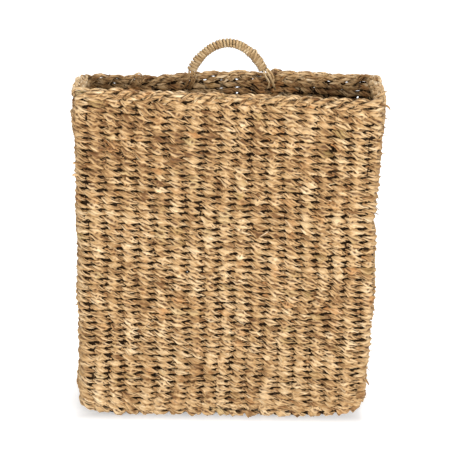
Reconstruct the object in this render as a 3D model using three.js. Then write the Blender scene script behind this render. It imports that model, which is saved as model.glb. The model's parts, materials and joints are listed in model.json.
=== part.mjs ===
// Magazine basket: an upright, flat-sided basket twined from seagrass, with a wrapped loop
// handle standing at the rear rim. Millimetres, +Z up. The origin is the middle of the
// footprint, on the floor. The front wall faces -Y and the handle is at the rear, +Y.
//
// The wall is a sandwich: upright stakes in the middle, with one strand of each twined weft
// pair outside them and the other inside them. Eight rows of weft share one band.
import * as THREE from 'three';

// Basket
const basketWidth = 356;
const basketDepth = 156;
const basketHeight = 400;
const cornerRadius = 22;
const baseEdgeRadius = 16;

// Weave
const seatGap = 0.3;
const weftThickness = 3.6;
const stakeThickness = 4.2;
const stakeWidth = 6;
const crossStakeCount = 17;
const sideStakeCount = 7;
const weftBandCount = 6;
const stitchCrestWidth = 6;
const stitchHollow = 2.2;
const trayHeight = 20;

// Rim border
const rimHeight = 12;
const rimOverhang = 0.8;
const rimShoulder = 3;

// Handle
const archWidth = 90;
const archRise = 34;
const hingeLift = 6;
const handleThickness = 11.5;
const wrapStrandWidth = 3.7;
const wrapStrandThickness = 2.4;
const wrapStart = 2;
const wrapTurnRadius = 2.4;
const turnGap = 0.55;
const mostTurns = 24;

// Ties that hold the handle's feet
const tieWidth = 7;
const tieThickness = 4;
const tieLength = 22;
const leftTieSplay = THREE.MathUtils.degToRad(9);
const rightTieSplay = THREE.MathUtils.degToRad(22);

// Facets
const cornerSteps = 6;
const bendSteps = 4;
const cornerStakeSides = 8;
const rimSteps = 6;
const coreSides = 8;
const coreSteps = 26;
const endSteps = 3;
const wrapSides = 6;
const wrapStepsPerTurn = 24;
const wrapEndSteps = 4;
const tieSteps = 6;

// Places that follow from the sizes above
const wallThickness = 2 * weftThickness + stakeThickness + 2 * seatGap;
const stakeInset = weftThickness + seatGap + stakeThickness / 2;
const innerWeftInset = wallThickness - weftThickness;
const crossStakeFloor = stakeInset;
const sideStakeFloor = crossStakeFloor + stakeThickness + seatGap;
const floorInset = wallThickness + seatGap;
const floorBottom = sideStakeFloor + stakeThickness / 2 + seatGap;
const sideBendRadius = floorInset - stakeInset;
const wallTop = basketHeight - rimHeight - seatGap;
const outerWallBottom = trayHeight + seatGap;
const innerWallBottom = sideStakeFloor + sideBendRadius;
const coreRadius = handleThickness / 2 - wrapStrandThickness - seatGap;
const wrapRadius = (handleThickness - wrapStrandThickness) / 2;
const hingeZ = basketHeight + hingeLift;
const rimInnerFace = basketDepth / 2 - wallThickness - rimOverhang;
const hingeY = rimInnerFace - seatGap - tieThickness / 2;
const archRadius = ((archWidth / 2) ** 2 + archRise ** 2) / (2 * archRise);
const archCentreZ = hingeZ + archRise - archRadius;
const archEndAngle = Math.asin((hingeZ - archCentreZ) / archRadius);
const archLength = (Math.PI - 2 * archEndAngle) * archRadius;

const outerWeft = { color: 0xc39a62, roughness: 0.85 };
const innerWeft = { color: 0x9a7443, roughness: 0.88 };
const stakeGrass = { color: 0x8a6436, roughness: 0.9 };
const rimGrass = { color: 0xb88f58, roughness: 0.85 };
const coreGrass = { color: 0x7d5c34, roughness: 0.9 };
const wrapGrass = { color: 0xc9a673, roughness: 0.8 };
const tieGrass = { color: 0xb4935c, roughness: 0.82 };

const basket = new THREE.Group();

function addPiece(name, geometry, look) {
  const mesh = new THREE.Mesh(geometry, new THREE.MeshStandardMaterial({ ...look, metalness: 0 }));
  mesh.name = name;
  basket.add(mesh);
  return mesh;
}

// The basket's plan, a rectangle with round corners, drawn in from the outside by an inset
function planPoints(inset) {
  const radius = cornerRadius - inset;
  const reachX = basketWidth / 2 - cornerRadius;
  const reachY = basketDepth / 2 - cornerRadius;
  const points = [];
  for (let corner = 0; corner < 4; corner += 1) {
    const start = corner * Math.PI / 2;
    const middle = start + Math.PI / 4;
    const centreX = Math.sign(Math.cos(middle)) * reachX;
    const centreY = Math.sign(Math.sin(middle)) * reachY;
    for (let step = 0; step <= cornerSteps; step += 1) {
      const angle = start + (step / cornerSteps) * Math.PI / 2;
      points.push(new THREE.Vector2(centreX + radius * Math.cos(angle), centreY + radius * Math.sin(angle)));
    }
  }
  return points;
}

// A point on the wall's face, at a distance round the basket's outside and drawn in by an inset.
// The distance starts at the left end of the front wall and runs anticlockwise.
function onFace(run, inset) {
  const reach = [basketWidth / 2 - cornerRadius, basketDepth / 2 - cornerRadius];
  const arc = cornerRadius * Math.PI / 2;
  let left = run;
  let side = 0;
  while (left > 2 * reach[side % 2] + arc) {
    left -= 2 * reach[side % 2] + arc;
    side += 1;
  }
  const along = Math.min(left, 2 * reach[side % 2]) - reach[side % 2];
  const facing = (side - 1) * Math.PI / 2 + Math.max(left - 2 * reach[side % 2], 0) / cornerRadius;
  const straight = new THREE.Vector2(along, -reach[(side + 1) % 2]);
  straight.rotateAround(new THREE.Vector2(), side * Math.PI / 2);
  const out = new THREE.Vector2(Math.cos(facing), Math.sin(facing));
  return straight.addScaledVector(out, cornerRadius - inset);
}

// Where the stakes stand, as distances round the outside
function stakeRuns() {
  const arc = cornerRadius * Math.PI / 2;
  const runs = [];
  let start = 0;
  for (let side = 0; side < 4; side += 1) {
    const span = (side % 2 === 0 ? basketWidth : basketDepth) - 2 * cornerRadius;
    const count = side % 2 === 0 ? crossStakeCount : sideStakeCount;
    for (let i = 0; i < count; i += 1) {
      runs.push(start + (i + 1 / 2) * span / count);
    }
    runs.push(start + span + arc / 2);
    start += span + arc;
  }
  return { runs, length: start };
}

// The plan of a band's stitches: a crest over every stake and a hollow between every two
function stitchPoints(crestInset, hollowInset, crestWidth) {
  const { runs, length } = stakeRuns();
  const points = [];
  runs.forEach((run, i) => {
    const next = i + 1 < runs.length ? runs[i + 1] : runs[0] + length;
    points.push(onFace(run - crestWidth / 2, crestInset));
    if (crestWidth > 0) {
      points.push(onFace(run + crestWidth / 2, crestInset));
    }
    points.push(onFace(((run + next) / 2) % length, hollowInset));
  });
  return points;
}

function planRing(inset, z) {
  return planPoints(inset).map((p) => new THREE.Vector3(p.x, p.y, z));
}

// A closed surface through a list of rings with as many points each. The ends are capped with
// fans, or joined to each other where the rings close on themselves.
function skinRings(rings, joined) {
  const sides = rings[0].length;
  const corners = rings.flat();
  const faces = [];
  const spans = joined ? rings.length : rings.length - 1;
  for (let i = 0; i < spans; i += 1) {
    const low = i * sides;
    const high = ((i + 1) % rings.length) * sides;
    for (let j = 0; j < sides; j += 1) {
      const k = (j + 1) % sides;
      faces.push(low + j, low + k, high + k);
      faces.push(low + j, high + k, high + j);
    }
  }
  if (!joined) {
    const last = (rings.length - 1) * sides;
    const firstMiddle = corners.push(middleOf(rings[0])) - 1;
    const lastMiddle = corners.push(middleOf(rings[rings.length - 1])) - 1;
    for (let j = 0; j < sides; j += 1) {
      const k = (j + 1) % sides;
      faces.push(firstMiddle, k, j);
      faces.push(lastMiddle, last + j, last + k);
    }
  }
  const geometry = new THREE.BufferGeometry().setFromPoints(corners);
  geometry.setIndex(faces);
  geometry.computeVertexNormals();
  return geometry;
}

function middleOf(ring) {
  const sum = ring.reduce((total, point) => total.add(point), new THREE.Vector3());
  return sum.divideScalar(ring.length);
}

// Weft bands: closed bands round the wall, stacked from a bottom height up to the rim. The
// faces that show bulge over each stake, as the columns of stitches do.
function addWeftBands(side, outline, hole, bottom, look) {
  const height = (wallTop - bottom - (weftBandCount - 1) * seatGap) / weftBandCount;
  const shape = new THREE.Shape(outline);
  shape.holes.push(new THREE.Path(hole));
  const geometry = new THREE.ExtrudeGeometry(shape, { depth: height, bevelEnabled: false });
  for (let i = 0; i < weftBandCount; i += 1) {
    addPiece(`${side}_weft_${i + 1}`, geometry, look).position.z = bottom + i * (height + seatGap);
  }
}

// Base weft below the crossed stakes: a shallow tray with a round bottom edge
function weftTray(wallInset, floorZ, edgeRadius) {
  const rings = [];
  const middleInset = wallInset + edgeRadius;
  const middleZ = floorZ + edgeRadius;
  const innerEdge = edgeRadius - weftThickness;
  for (let step = 0; step <= bendSteps; step += 1) {
    const angle = (step / bendSteps) * Math.PI / 2;
    rings.push(planRing(middleInset - edgeRadius * Math.sin(angle), middleZ - edgeRadius * Math.cos(angle)));
  }
  rings.push(planRing(wallInset, trayHeight));
  rings.push(planRing(wallInset + weftThickness, trayHeight));
  for (let step = bendSteps; step >= 0; step -= 1) {
    const angle = (step / bendSteps) * Math.PI / 2;
    rings.push(planRing(middleInset - innerEdge * Math.sin(angle), middleZ - innerEdge * Math.cos(angle)));
  }
  return skinRings(rings, false);
}

// Base weft above the crossed stakes: a flat floor inside the walls
function addBaseWeft() {
  addPiece('base_weft_outer', weftTray(0, 0, baseEdgeRadius), outerWeft);
  const shape = new THREE.Shape(planPoints(floorInset));
  const geometry = new THREE.ExtrudeGeometry(shape, { depth: weftThickness, bevelEnabled: false });
  addPiece('base_weft_inner', geometry, innerWeft).position.z = floorBottom;
}

// One face of a U-shaped stake: down one wall, across the base and up the opposite wall
function stakeLine(halfSpan, floorZ, radius) {
  const line = new THREE.Path();
  line.moveTo(-halfSpan, wallTop);
  line.lineTo(-halfSpan, floorZ + radius);
  line.absarc(radius - halfSpan, floorZ + radius, radius, Math.PI, 1.5 * Math.PI, false);
  line.absarc(halfSpan - radius, floorZ + radius, radius, 1.5 * Math.PI, 2 * Math.PI, false);
  line.lineTo(halfSpan, wallTop);
  return line.getPoints(bendSteps / 2);
}

function stakeGeometry(halfSpan, floorZ, bendRadius) {
  const half = stakeThickness / 2;
  const outside = stakeLine(halfSpan + half, floorZ - half, bendRadius + half);
  const inside = stakeLine(halfSpan - half, floorZ + half, bendRadius - half);
  const shape = new THREE.Shape([...outside, ...inside.reverse()]);
  const geometry = new THREE.ExtrudeGeometry(shape, { depth: stakeWidth, bevelEnabled: false });
  return geometry.translate(0, 0, -stakeWidth / 2);
}

// Front to rear under the base: the lower layer
function addCrossStakes() {
  const pitch = (basketWidth - 2 * cornerRadius) / crossStakeCount;
  const geometry = stakeGeometry(basketDepth / 2 - stakeInset, crossStakeFloor, baseEdgeRadius - stakeInset);
  for (let i = 0; i < crossStakeCount; i += 1) {
    const name = `cross_stake_${String(i + 1).padStart(2, '0')}`;
    const stake = addPiece(name, geometry, stakeGrass);
    stake.position.x = (i - (crossStakeCount - 1) / 2) * pitch;
    stake.rotation.set(Math.PI / 2, 0, Math.PI / 2, 'ZYX');
  }
}

// Left to right under the base: the upper layer
function addSideStakes() {
  const pitch = (basketDepth - 2 * cornerRadius) / sideStakeCount;
  const geometry = stakeGeometry(basketWidth / 2 - stakeInset, sideStakeFloor, sideBendRadius);
  for (let i = 0; i < sideStakeCount; i += 1) {
    const stake = addPiece(`side_stake_${i + 1}`, geometry, stakeGrass);
    stake.position.y = (i - (sideStakeCount - 1) / 2) * pitch;
    stake.rotation.x = Math.PI / 2;
  }
}

// Short round stakes added in the corners, held between the outer and inner bands
function addCornerStakes() {
  const height = wallTop - outerWallBottom;
  const radius = stakeThickness / 2;
  const geometry = new THREE.CylinderGeometry(radius, radius, height, cornerStakeSides);
  const bend = (cornerRadius - stakeInset) * Math.SQRT1_2;
  for (const [side, signX] of [['left', -1], ['right', 1]]) {
    for (const [end, signY] of [['front', -1], ['rear', 1]]) {
      const stake = addPiece(`corner_stake_${end}_${side}`, geometry, stakeGrass);
      const x = signX * (basketWidth / 2 - cornerRadius + bend);
      const y = signY * (basketDepth / 2 - cornerRadius + bend);
      stake.position.set(x, y, outerWallBottom + height / 2);
      stake.rotation.x = Math.PI / 2;
    }
  }
}

// Rim border: the stake ends bent over and tucked into one thick edge
function addRim() {
  const rimHalf = wallThickness / 2 + rimOverhang;
  const middleInset = wallThickness / 2;
  const bottom = basketHeight - rimHeight;
  const rings = [
    planRing(middleInset + rimHalf, bottom),
    planRing(middleInset - rimHalf, bottom),
  ];
  const crown = rimHeight - rimShoulder;
  for (let step = 0; step <= rimSteps; step += 1) {
    const angle = (step / rimSteps) * Math.PI;
    const inset = middleInset - rimHalf * Math.cos(angle);
    rings.push(planRing(inset, bottom + rimShoulder + crown * Math.sin(angle)));
  }
  addPiece('rim_border', skinRings(rings, true), rimGrass);
}

// A point given by its place round the handle, its place along the arch and its distance from
// the arch's middle line. Along starts at the left hinge and ends at the right one.
function onHandle(around, along, radius) {
  const onArch = THREE.MathUtils.clamp(along, 0, archLength);
  const angle = Math.PI - archEndAngle - onArch / archRadius;
  const outward = new THREE.Vector3(Math.cos(angle), 0, Math.sin(angle));
  const forward = new THREE.Vector3(Math.sin(angle), 0, -Math.cos(angle));
  const point = outward.clone().multiplyScalar(archRadius + radius * Math.cos(around));
  point.addScaledVector(forward, along - onArch);
  return point.add(new THREE.Vector3(0, hingeY + radius * Math.sin(around), archCentreZ));
}

// Handle core: a bundle of stems whose round ends sit on the ties
function addHandleCore() {
  const stations = [];
  for (let step = 1; step <= endSteps; step += 1) {
    const angle = (step / (endSteps + 1)) * Math.PI / 2;
    stations.push([-coreRadius * Math.cos(angle), coreRadius * Math.sin(angle)]);
  }
  for (let step = 0; step <= coreSteps; step += 1) {
    stations.push([(step / coreSteps) * archLength, coreRadius]);
  }
  for (let step = endSteps; step >= 1; step -= 1) {
    const angle = (step / (endSteps + 1)) * Math.PI / 2;
    stations.push([archLength + coreRadius * Math.cos(angle), coreRadius * Math.sin(angle)]);
  }
  const rings = stations.map(([along, radius]) => {
    const ring = [];
    for (let side = 0; side < coreSides; side += 1) {
      ring.push(onHandle(-(side / coreSides) * 2 * Math.PI, along, radius));
    }
    return ring;
  });
  addPiece('handle_core', skinRings(rings, false), coreGrass);
}

// The winding's middle line, flat, as it would lie if the handle's surface were unrolled.
// It runs along the handle, turns, winds round at a steady pitch, turns back and runs on.
function windingLine() {
  const straight = wrapStrandWidth;
  const span = archLength - 2 * (wrapStart + straight + wrapTurnRadius);
  const squeezeShare = (archRadius - wrapRadius) / archRadius;
  const turns = Math.min(mostTurns, Math.floor(span / (wrapStrandWidth + turnGap / squeezeShare)));
  const pitch = span / turns;
  const girth = 2 * Math.PI * wrapRadius;
  const climb = Math.atan2(pitch, girth);
  const line = [{ around: 0, along: wrapStart, heading: Math.PI / 2 }];
  const firstX = wrapTurnRadius;
  const firstY = wrapStart + straight;
  for (let step = 0; step < wrapEndSteps; step += 1) {
    const heading = Math.PI / 2 + (step / wrapEndSteps) * (climb - Math.PI / 2);
    const around = firstX - wrapTurnRadius * Math.sin(heading);
    line.push({ around, along: firstY + wrapTurnRadius * Math.cos(heading), heading });
  }
  const startX = firstX - wrapTurnRadius * Math.sin(climb);
  const startY = firstY + wrapTurnRadius * Math.cos(climb);
  const steps = turns * wrapStepsPerTurn;
  for (let step = 0; step <= steps; step += 1) {
    const turned = step / wrapStepsPerTurn;
    line.push({ around: startX + turned * girth, along: startY + turned * pitch, heading: climb });
  }
  const lastX = startX + turns * girth - wrapTurnRadius * Math.sin(climb);
  const lastY = startY + turns * pitch + wrapTurnRadius * Math.cos(climb);
  for (let step = 1; step <= wrapEndSteps; step += 1) {
    const heading = climb + (step / wrapEndSteps) * (Math.PI / 2 - climb);
    const around = lastX + wrapTurnRadius * Math.sin(heading);
    line.push({ around, along: lastY - wrapTurnRadius * Math.cos(heading), heading });
  }
  line.push({ around: lastX + wrapTurnRadius, along: lastY + straight, heading: Math.PI / 2 });
  return line;
}

// Handle wrap: one flat strand wound round the core from foot to foot
function addHandleWrap() {
  const rings = windingLine().map(({ around, along, heading }) => {
    const ring = [];
    for (let side = 0; side < wrapSides; side += 1) {
      const angle = -(side / wrapSides) * 2 * Math.PI;
      const across = (wrapStrandWidth / 2) * Math.cos(angle);
      const lift = (wrapStrandThickness / 2) * Math.sin(angle);
      const turned = (around - across * Math.sin(heading)) / wrapRadius + Math.PI / 2;
      ring.push(onHandle(turned, along + across * Math.cos(heading), wrapRadius + lift));
    }
    return ring;
  });
  addPiece('handle_wrap', skinRings(rings, false), wrapGrass);
  console.log(`handle_wrap: least gap between turns ${leastGap(rings).toFixed(2)} mm`);
}

// Least distance between the strand's own points that lie at least half a turn apart
function leastGap(rings) {
  let least = Infinity;
  for (let i = 0; i < rings.length; i += 1) {
    const farthest = Math.min(rings.length, i + 2 * wrapStepsPerTurn);
    for (let j = i + wrapStepsPerTurn / 2; j < farthest; j += 1) {
      for (const a of rings[i]) {
        for (const b of rings[j]) {
          least = Math.min(least, a.distanceTo(b));
        }
      }
    }
  }
  return least;
}

// Ties: bare strands from each foot of the handle down the rear wall's inner face
function addTie(name, hingeX, splay) {
  const drop = coreRadius + seatGap;
  const half = tieWidth / 2;
  const shape = new THREE.Shape();
  shape.moveTo(half, -drop);
  shape.lineTo(-half, -drop);
  shape.lineTo(-half, half - drop - tieLength);
  shape.absarc(0, half - drop - tieLength, half, Math.PI, 2 * Math.PI, false);
  const options = { depth: tieThickness, bevelEnabled: false, curveSegments: tieSteps };
  const geometry = new THREE.ExtrudeGeometry(shape, options);
  geometry.translate(0, 0, -tieThickness / 2);
  const tie = addPiece(name, geometry, tieGrass);
  tie.position.set(hingeX, hingeY, hingeZ);
  tie.rotation.set(Math.PI / 2, 0, splay, 'XYZ');
}

const outerStitches = stitchPoints(0, stitchHollow, stitchCrestWidth);
const innerStitches = stitchPoints(wallThickness, wallThickness - stitchHollow, 0);
addWeftBands('outer', outerStitches, planPoints(weftThickness), outerWallBottom, outerWeft);
addWeftBands('inner', planPoints(innerWeftInset), innerStitches, innerWallBottom, innerWeft);
addBaseWeft();
addCrossStakes();
addSideStakes();
addCornerStakes();
addRim();
addHandleCore();
addHandleWrap();
addTie('handle_tie_left', -archWidth / 2, -leftTieSplay);
addTie('handle_tie_right', archWidth / 2, rightTieSplay);

export default basket;
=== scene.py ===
import bmesh
import bpy
import json
import math
import numpy as np
from mathutils import Matrix, Vector
from numpy.random import default_rng


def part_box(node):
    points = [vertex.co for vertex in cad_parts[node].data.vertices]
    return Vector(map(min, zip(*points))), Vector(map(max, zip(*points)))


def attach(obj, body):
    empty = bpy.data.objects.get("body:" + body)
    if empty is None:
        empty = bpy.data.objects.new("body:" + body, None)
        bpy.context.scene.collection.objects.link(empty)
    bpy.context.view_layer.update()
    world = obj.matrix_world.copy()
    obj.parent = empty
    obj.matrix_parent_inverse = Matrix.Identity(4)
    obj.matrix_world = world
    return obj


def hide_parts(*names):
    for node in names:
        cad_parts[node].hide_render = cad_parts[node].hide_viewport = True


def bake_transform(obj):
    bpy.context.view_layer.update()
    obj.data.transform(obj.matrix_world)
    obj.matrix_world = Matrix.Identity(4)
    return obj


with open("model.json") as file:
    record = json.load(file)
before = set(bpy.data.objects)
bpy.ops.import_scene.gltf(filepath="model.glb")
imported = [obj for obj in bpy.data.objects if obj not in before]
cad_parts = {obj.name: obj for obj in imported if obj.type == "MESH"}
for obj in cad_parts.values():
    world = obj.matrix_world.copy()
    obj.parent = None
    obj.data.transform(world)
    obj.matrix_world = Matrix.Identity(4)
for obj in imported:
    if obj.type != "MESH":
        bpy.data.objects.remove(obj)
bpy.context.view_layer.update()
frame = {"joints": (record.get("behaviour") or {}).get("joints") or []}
mm = 0.001
turn = 2 * math.pi
forward = np.array([0.0, -1.0, 0.0])


def boxMm(node):
    low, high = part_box(node)
    return np.array(low) / mm, np.array(high) / mm


print("stage: sizes from the frame")
wallReach = boxMm("outer_weft_1")[1]
rimReach = boxMm("rim_border")
crossCount, sideCount = 17, 7  # stakes that run front to rear, and left to right
crossStakes = [f"cross_stake_{i + 1:02d}" for i in range(crossCount)]
sideStakes = [f"side_stake_{i + 1}" for i in range(sideCount)]
cornerStakes = [f"corner_stake_{end}_{side}" for side in ("left", "right") for end in ("front", "rear")]
stakeX = np.array([np.mean(boxMm(node), 0)[0] for node in crossStakes])
stakeY = np.array([np.mean(boxMm(node), 0)[1] for node in sideStakes])
hinge = np.array(frame["joints"][0]["pos_m"]) / mm

# The basket's body in mm. Distances down the wall are measured from the rim's underside.
basket = {
    "halfWidth": wallReach[0],
    "halfDepth": wallReach[1],
    "cornerRadius": 22,
    "leastRadius": 5.0,  # of the corners of the rows near the middle of the base
    "cornerPoints": 13,
    "wall": 12,
    "edgeRadius": 13,  # of the bottom edge, outside
    "baseMiddle": 8.0,  # height of the middle of the base
    "rimBottom": rimReach[0][2],
    "rimTop": rimReach[1][2],
    "girth": 948,  # about the way round the wall
    "openCorner": 26,  # a corner with more room than this between its stakes has one of its own
    "stakeSlack": 1,  # a row reaches a stake that stands this far past its straight
}
halfX = basket["halfWidth"] - basket["wall"] / 2
halfY = basket["halfDepth"] - basket["wall"] / 2
edge = basket["edgeRadius"] - basket["wall"] / 2
edgeArc = edge * math.pi / 2
straight = basket["rimBottom"] - basket["baseMiddle"] - edge

# Unevenness, read off the photo: each list has a place in mm and the shift there
sag = {
    "tilt": [(0, 0), (60, 3.0), (200, 8.0), (320, 7.0), (388, 4.3), (420, 4.3)],
    "rearRim": [(-178, -6.0), (-150, -4.6), (-130, -5.5), (-88, -5.5), (-60, -2.0), (20, 3.5), (30, 2.8),
                (37, 0.9), (49, 0.9), (57, 5.0), (92, 3.0), (152, 0.5), (178, 4.5)],
    "rearBlend": 300,  # the rear rim's own droop fades out below this height
    "left": [(0, -1), (31, -3), (61, 2.5), (121, 2), (151, -3), (211, 1), (300, 0), (331, 0),
             (346, -1.4), (359, -3.0), (367, -2.4), (375, -1.0), (389, 1.4), (404, 3.5)],
    "right": [(0, -6), (12, -3), (31, 1), (61, -1.2), (121, 1), (151, 3.4), (174, 5.5), (236, 6.5),
              (256, 2), (331, 2), (361, 1), (380, 1.5), (392, -1.5), (405, -1.5)],
    "belly": [(0, 4.5), (40, 4.0), (120, 1.0), (200, 0), (400, 0)],  # the front leans out at its foot
    "foot": [(-178, 0), (-120, 1), (-80, 2.4), (-10, 2.6), (40, 0.4), (90, 0.4), (120, 2.4), (178, 2)],
    "footHeight": 45,  # the front edge curls up a little off the floor
    "flareFrom": 290,  # above this the rear corners stand wider apart
    "flareLeft": 12.5,
    "flareRight": 13.0,
    "cornerLeft": {"rise": 13.0, "reach": 60.0, "height": 70.0},  # the bottom corners turn up
    "cornerRight": {"rise": 13.5, "reach": 60.0, "height": 66.0},
}


def spread(pairs, places):
    return np.interp(places, *zip(*pairs))


def settle(points):
    # Moves points in mm from the straight basket to the uneven real one
    x, y, z = np.moveaxis(points, -1, 0)
    sideways = np.clip(x / basket["halfWidth"], -1, 1)
    rear = np.clip((y + basket["halfDepth"]) / (2 * basket["halfDepth"]), 0, 1)
    front = -sideways * spread(sag["tilt"], z)
    high = np.clip((z - sag["rearBlend"]) / (basket["rimBottom"] - sag["rearBlend"]), 0, 1)
    back = front * (1 - high) + spread(sag["rearRim"], x) * high
    lift = front * (1 - rear) + back * rear
    lift = lift + spread(sag["foot"], x) * np.clip(1 - z / sag["footHeight"], 0, 1) * (1 - rear) ** 2
    push = np.where(x > 0, spread(sag["right"], z), spread(sag["left"], z)) * np.abs(sideways)
    flare = np.clip((z - sag["flareFrom"]) / (basket["rimTop"] - sag["flareFrom"]), 0, 1) ** 2 * rear
    push = push + flare * np.where(x > 0, sag["flareRight"], -sag["flareLeft"]) * np.abs(sideways)
    forwards = spread(sag["belly"], z) * (1 - rear)
    for side, corner in ((-1, sag["cornerLeft"]), (1, sag["cornerRight"])):
        inward = basket["halfWidth"] - side * x
        near = np.clip(1 - inward / corner["reach"], 0, 1) ** 2
        lift = lift + corner["rise"] * near * np.clip(1 - z / corner["height"], 0, 1)
    return np.stack([x + push, y - forwards, z + lift], -1)


def wander(seed, reachAlong, reachAcross, modes=26):
    # A smooth random field, about -1 to 1, over the share of the way round and mm across the rows
    draw = default_rng(seed)
    most = round(basket["girth"] / reachAlong)
    turns = draw.integers(-most, most + 1, modes)
    rise = draw.normal(0, turn / reachAcross / 2, modes)
    phase = draw.uniform(0, turn, modes)

    def field(share, across):
        waves = (np.cos(turn * k * share + q * across + p) for k, q, p in zip(turns, rise, phase))
        return sum(waves) / math.sqrt(modes / 2)
    return field


# Each has a seed, and how far it keeps its value along the rows and across them, in mm
rowWander = wander(11, 90, 60)
columnWander = wander(12, 120, 90)
wallWander = wander(13, 160, 140)
lightWander = wander(14, 70, 50)


def planLoop(inset):
    # The wall's middle line from above, drawn in by an inset, anticlockwise from the front's middle
    wide, deep = halfX - inset, halfY - inset
    radius = basket["cornerRadius"] - basket["wall"] / 2 - inset
    radius = max(radius, min(basket["leastRadius"], deep))
    reachX, reachY = wide - radius, deep - radius
    quarter = np.linspace(0, math.pi / 2, basket["cornerPoints"])
    facing, x, y = [-math.pi / 2], [0.0], [-deep]
    for corner, (signX, signY) in enumerate(((1, -1), (1, 1), (-1, 1), (-1, -1))):
        angles = (corner - 1) * math.pi / 2 + quarter
        facing += [*angles]
        x += [*(signX * reachX + radius * np.cos(angles))]
        y += [*(signY * reachY + radius * np.sin(angles))]
    facing, x, y = facing + [1.5 * math.pi], x + [0.0], y + [-deep]
    run = np.concatenate([[0], np.cumsum(np.hypot(np.diff(x), np.diff(y)))])
    length = run[-1]
    starts = run[1:-1:basket["cornerPoints"]]
    ends = run[basket["cornerPoints"]::basket["cornerPoints"]]
    nearX = stakeX[np.abs(stakeX) < reachX + basket["stakeSlack"]]
    nearY = stakeY[np.abs(stakeY) < reachY + basket["stakeSlack"]]
    sides = [nearX % length, ends[0] + nearY + reachY, ends[1] + reachX - nearX, ends[2] + reachY - nearY]
    room = wide - nearX.max() + deep - nearY.max(initial=0)
    corners = (starts + ends) / 2 if room > basket["openCorner"] else []
    return {
        "run": run, "length": length, "facing": facing, "x": x, "y": y,
        "stakes": np.sort(np.concatenate([*sides, corners])), "sides": sides, "corners": corners,
    }


def wallProfile(drop):
    # Inset, height and lean of the wall's middle at a distance down from the rim, on to the base
    arc = np.clip((drop - straight) / edge, 0, math.pi / 2)
    floor = np.maximum(drop - straight - edgeArc, 0)
    inset = edge * (1 - np.cos(arc)) + floor
    height = basket["rimBottom"] - np.minimum(drop, straight) - edge * np.sin(arc)
    return inset, height, arc


def onWall(loop, inset, run, drop, depth):
    # Points of the wall, with the directions out of it and up it
    run = run % loop["length"]
    facing, x, y = (np.interp(run, loop["run"], loop[key]) for key in ("facing", "x", "y"))
    level, height, lean = wallProfile(drop)
    away = inset - level + depth * np.cos(lean)
    outX, outY = np.cos(facing), np.sin(facing)
    at = np.stack([x + outX * away, y + outY * away, height - depth * np.sin(lean)], -1)
    out = np.stack([outX * np.cos(lean), outY * np.cos(lean), -np.sin(lean)], -1)
    up = np.stack([outX * np.sin(lean), outY * np.sin(lean), np.cos(lean)], -1)
    return at, out, up


def stitchSteps(loop, per):
    # How many stitches a row has, and its points' places in stitches and in mm
    stitches = len(loop["stakes"])
    step = np.arange(stitches * per) / per
    knots = np.append(loop["stakes"], loop["stakes"][0] + loop["length"])
    return stitches, step, np.interp(step, np.arange(stitches + 1), knots)


def uneven(draw, stitches, step, amount):
    # One random value a stitch, eased from each to the next, closing on itself
    values = draw.normal(0, amount, stitches)
    return np.interp(np.mod(step, stitches), np.arange(stitches + 1), np.append(values, values[0]))


def unevenBy(draw, stitches, step, amounts):
    # The same, for an amount that is called by its name
    return lambda kind: uneven(draw, stitches, step, amounts[kind])


def unit(vectors):
    return vectors / np.linalg.norm(vectors, axis=-1, keepdims=True)


def tangents(points):
    return unit(np.gradient(points, axis=0))


def addObject(name, data):
    made = bpy.data.objects.new(name, data)
    bpy.context.collection.objects.link(made)
    return made


# Every piece of grass is a tube whose section is an oval with plies
grass = {
    "sides": 12,
    "plyRound": 0.7,  # the lower, the narrower the creases between plies
    "creaseNoise": (-0.05, 0.4),
    "creaseMost": 1.3,
    "rough": 0.11,  # share by which a strand's side goes in and out between its fibres
    "plyPatch": 9.0,  # mm of one lightness along a ply
    "plyTone": 0.12,
    "fibreRadius": 2.4,  # mm, of the pattern's place round a strand
    "pocketShadeReach": 2.3,  # the painted shade of the pocket side's hollows reaches this much wider than outside
    "seeds": 5000,
    "creaseDraws": 3,  # these two keep a strand's series of draws apart
    "toneDraws": 7,
}


def ownDraws(strand, series):
    return default_rng(int(strand["seed"] * 1000) + series)


def roundSection(sides):
    curve = bpy.data.curves.new("section", "CURVE")
    curve.dimensions = "2D"
    spline = curve.splines.new("POLY")
    spline.points.add(sides - 1)
    for i, point in enumerate(spline.points):
        angle = -turn * i / sides  # clockwise, so that the tube's faces point out
        point.co = (mm * math.cos(angle), mm * math.sin(angle), 0, 1)
    spline.use_cyclic_u = True
    return addObject("section", curve)


def roundTubes(name, strands, sides):
    # The mesh of Blender's bevelled curve along each strand, 1 mm in radius
    curve = bpy.data.curves.new(name, "CURVE")
    curve.dimensions = "3D"
    curve.twist_mode = "Z_UP"
    curve.bevel_mode = "OBJECT"
    curve.bevel_object = roundSection(sides)
    for strand in strands:
        count = len(strand["at"])
        spline = curve.splines.new("POLY")
        spline.points.add(count - 1)
        places = np.column_stack([strand["at"] * mm, np.ones(count)])
        spline.points.foreach_set("co", places.astype(np.float32).ravel())
        spline.points.foreach_set("tilt", strand["twist"].astype(np.float32))
        spline.use_cyclic_u = strand["closed"]
    guide = addObject(name + "Guide", curve)
    graph = bpy.context.evaluated_depsgraph_get()
    mesh = bpy.data.meshes.new_from_object(guide.evaluated_get(graph), depsgraph=graph)
    bpy.data.objects.remove(guide)
    bpy.data.objects.remove(curve.bevel_object)
    return mesh


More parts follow.
